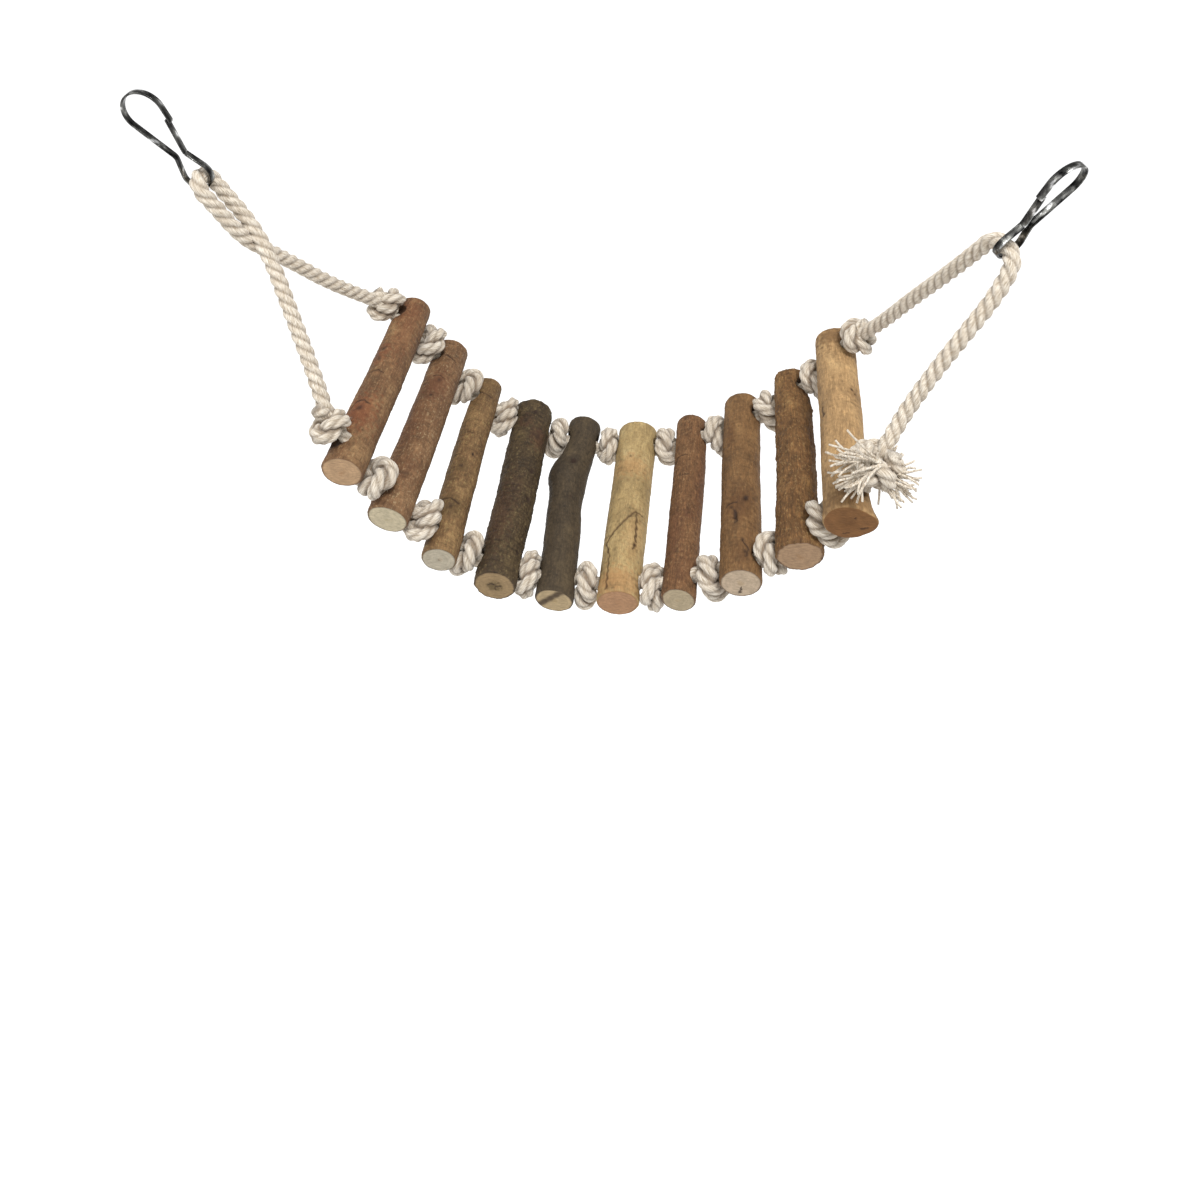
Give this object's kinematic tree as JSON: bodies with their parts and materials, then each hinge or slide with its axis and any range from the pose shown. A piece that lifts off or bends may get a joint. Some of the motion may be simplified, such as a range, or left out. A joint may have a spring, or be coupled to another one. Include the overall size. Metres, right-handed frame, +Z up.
{
  "type": "rope ladder",
  "caption": "Small hanging rope ladder with natural branch rungs on a knotted cotton rope and a spring hook at each end, for a bird or small-pet cage.",
  "frame": {"origin": "centre of the left hook's round end", "axes": "+X along the ladder towards the right hook, +Y along the rungs to their far ends, +Z up"},
  "size_m": [0.3176, 0.102, 0.1965],
  "materials": {
    "bark_1": "red brown bark, smooth",
    "bark_2": "dark red brown bark",
    "bark_3": "olive brown bark",
    "bark_4": "dark grey brown rough bark",
    "bark_5": "dark grey brown smooth bark",
    "bark_6": "pale yellow tan bark",
    "bark_7": "red brown fine bark",
    "bark_8": "golden brown bark",
    "bark_9": "mottled brown bark",
    "bark_10": "peeled light tan wood",
    "cotton_rope": "natural undyed cotton, three strands",
    "spring_steel": "bright zinc plated flat wire"
  },
  "bodies": {
    "left_hook": {"left_hook_body": "spring_steel"},
    "left_gate": {"left_hook_gate": "spring_steel"},
    "left_bridle": {"left_bridle_rope": "cotton_rope", "left_outer_near_knot": "cotton_rope", "left_outer_far_knot": "cotton_rope"},
    "rung_1": {"rung_1": "bark_1", "rope_in_rung_1": "cotton_rope", "near_knot_1": "cotton_rope", "far_knot_1": "cotton_rope"},
    "rung_2": {"rung_2": "bark_2", "rope_in_rung_2": "cotton_rope", "near_knot_2": "cotton_rope", "far_knot_2": "cotton_rope"},
    "rung_3": {"rung_3": "bark_3", "rope_in_rung_3": "cotton_rope", "near_knot_3": "cotton_rope", "far_knot_3": "cotton_rope"},
    "rung_4": {"rung_4": "bark_4", "rope_in_rung_4": "cotton_rope", "near_knot_4": "cotton_rope", "far_knot_4": "cotton_rope"},
    "rung_5": {"rung_5": "bark_5", "rope_in_rung_5": "cotton_rope", "near_knot_5": "cotton_rope", "far_knot_5": "cotton_rope"},
    "rung_6": {"rung_6": "bark_6", "rope_in_rung_6": "cotton_rope", "near_knot_6": "cotton_rope", "far_knot_6": "cotton_rope"},
    "rung_7": {"rung_7": "bark_7", "rope_in_rung_7": "cotton_rope", "near_knot_7": "cotton_rope", "far_knot_7": "cotton_rope"},
    "rung_8": {"rung_8": "bark_8", "rope_in_rung_8": "cotton_rope", "near_knot_8": "cotton_rope", "far_knot_8": "cotton_rope"},
    "rung_9": {"rung_9": "bark_9", "rope_in_rung_9": "cotton_rope", "near_knot_9": "cotton_rope", "far_knot_9": "cotton_rope"},
    "rung_10": {"rung_10": "bark_10", "rope_in_rung_10": "cotton_rope"},
    "right_bridle": {"right_bridle_rope": "cotton_rope", "right_outer_far_knot": "cotton_rope", "frayed_knot": "cotton_rope", "frayed_rope_ends": "cotton_rope"},
    "right_hook": {"right_hook_body": "spring_steel"},
    "right_gate": {"right_hook_gate": "spring_steel"}
  },
  "joints": [
    {"name": "left_gate_flex", "type": "hinge", "parent": "left_hook", "child": "left_gate", "pos_m": [0.01055, 0, -0.01461], "axis": [0, -1, 0], "range_deg": [0, 20], "stiffness_Nm_per_rad": 0.02},
    {"name": "left_hook_swing", "type": "hinge", "parent": "left_hook", "child": "left_bridle", "pos_m": [0.0135, 0, -0.0241], "axis": [0, 1, 0], "range_deg": [-30, 30]},
    {"name": "left_bridle_swing", "type": "hinge", "parent": "left_bridle", "child": "rung_1", "pos_m": [0.06, 0, -0.105], "axis": [0, 1, 0], "range_deg": [-15, 15]},
    {"name": "gap_1_bend", "type": "hinge", "parent": "rung_1", "child": "rung_2", "pos_m": [0.07425, 0, -0.12781], "axis": [0, -1, 0], "range_deg": [-22, 22]},
    {"name": "gap_2_bend", "type": "hinge", "parent": "rung_2", "child": "rung_3", "pos_m": [0.08917, 0, -0.15169], "axis": [0, -1, 0], "range_deg": [-36, 8]},
    {"name": "gap_3_bend", "type": "hinge", "parent": "rung_3", "child": "rung_4", "pos_m": [0.10719, 0, -0.16909], "axis": [0, -1, 0], "range_deg": [-44, 0]},
    {"name": "gap_4_bend", "type": "hinge", "parent": "rung_4", "child": "rung_5", "pos_m": [0.13223, 0, -0.1792], "axis": [0, -1, 0], "range_deg": [-38, 6]},
    {"name": "gap_5_bend", "type": "hinge", "parent": "rung_5", "child": "rung_6", "pos_m": [0.15679, 0, -0.18178], "axis": [0, -1, 0], "range_deg": [-36, 8]},
    {"name": "gap_6_bend", "type": "hinge", "parent": "rung_6", "child": "rung_7", "pos_m": [0.18417, 0, -0.17793], "axis": [0, -1, 0], "range_deg": [-42, 2]},
    {"name": "gap_7_bend", "type": "hinge", "parent": "rung_7", "child": "rung_8", "pos_m": [0.20651, 0, -0.16606], "axis": [0, -1, 0], "range_deg": [-34, 10]},
    {"name": "gap_8_bend", "type": "hinge", "parent": "rung_8", "child": "rung_9", "pos_m": [0.22815, 0, -0.1479], "axis": [0, -1, 0], "range_deg": [-32, 12]},
    {"name": "gap_9_bend", "type": "hinge", "parent": "rung_9", "child": "rung_10", "pos_m": [0.24541, 0, -0.12733], "axis": [0, -1, 0], "range_deg": [-35, 9]},
    {"name": "right_bridle_swing", "type": "hinge", "parent": "rung_10", "child": "right_bridle", "pos_m": [0.2578, 0, -0.10301], "axis": [0, 1, 0], "range_deg": [-15, 15]},
    {"name": "right_hook_swing", "type": "hinge", "parent": "right_bridle", "child": "right_hook", "pos_m": [0.2919, 0, -0.028], "axis": [-0.5398, 0.809, 0.2329], "range_deg": [-30, 30]},
    {"name": "right_gate_flex", "type": "hinge", "parent": "right_hook", "child": "right_gate", "pos_m": [0.29424, -0.00123, -0.01834], "axis": [-0.5398, 0.809, 0.2329], "range_deg": [0, 20], "stiffness_Nm_per_rad": 0.02}
  ]
}
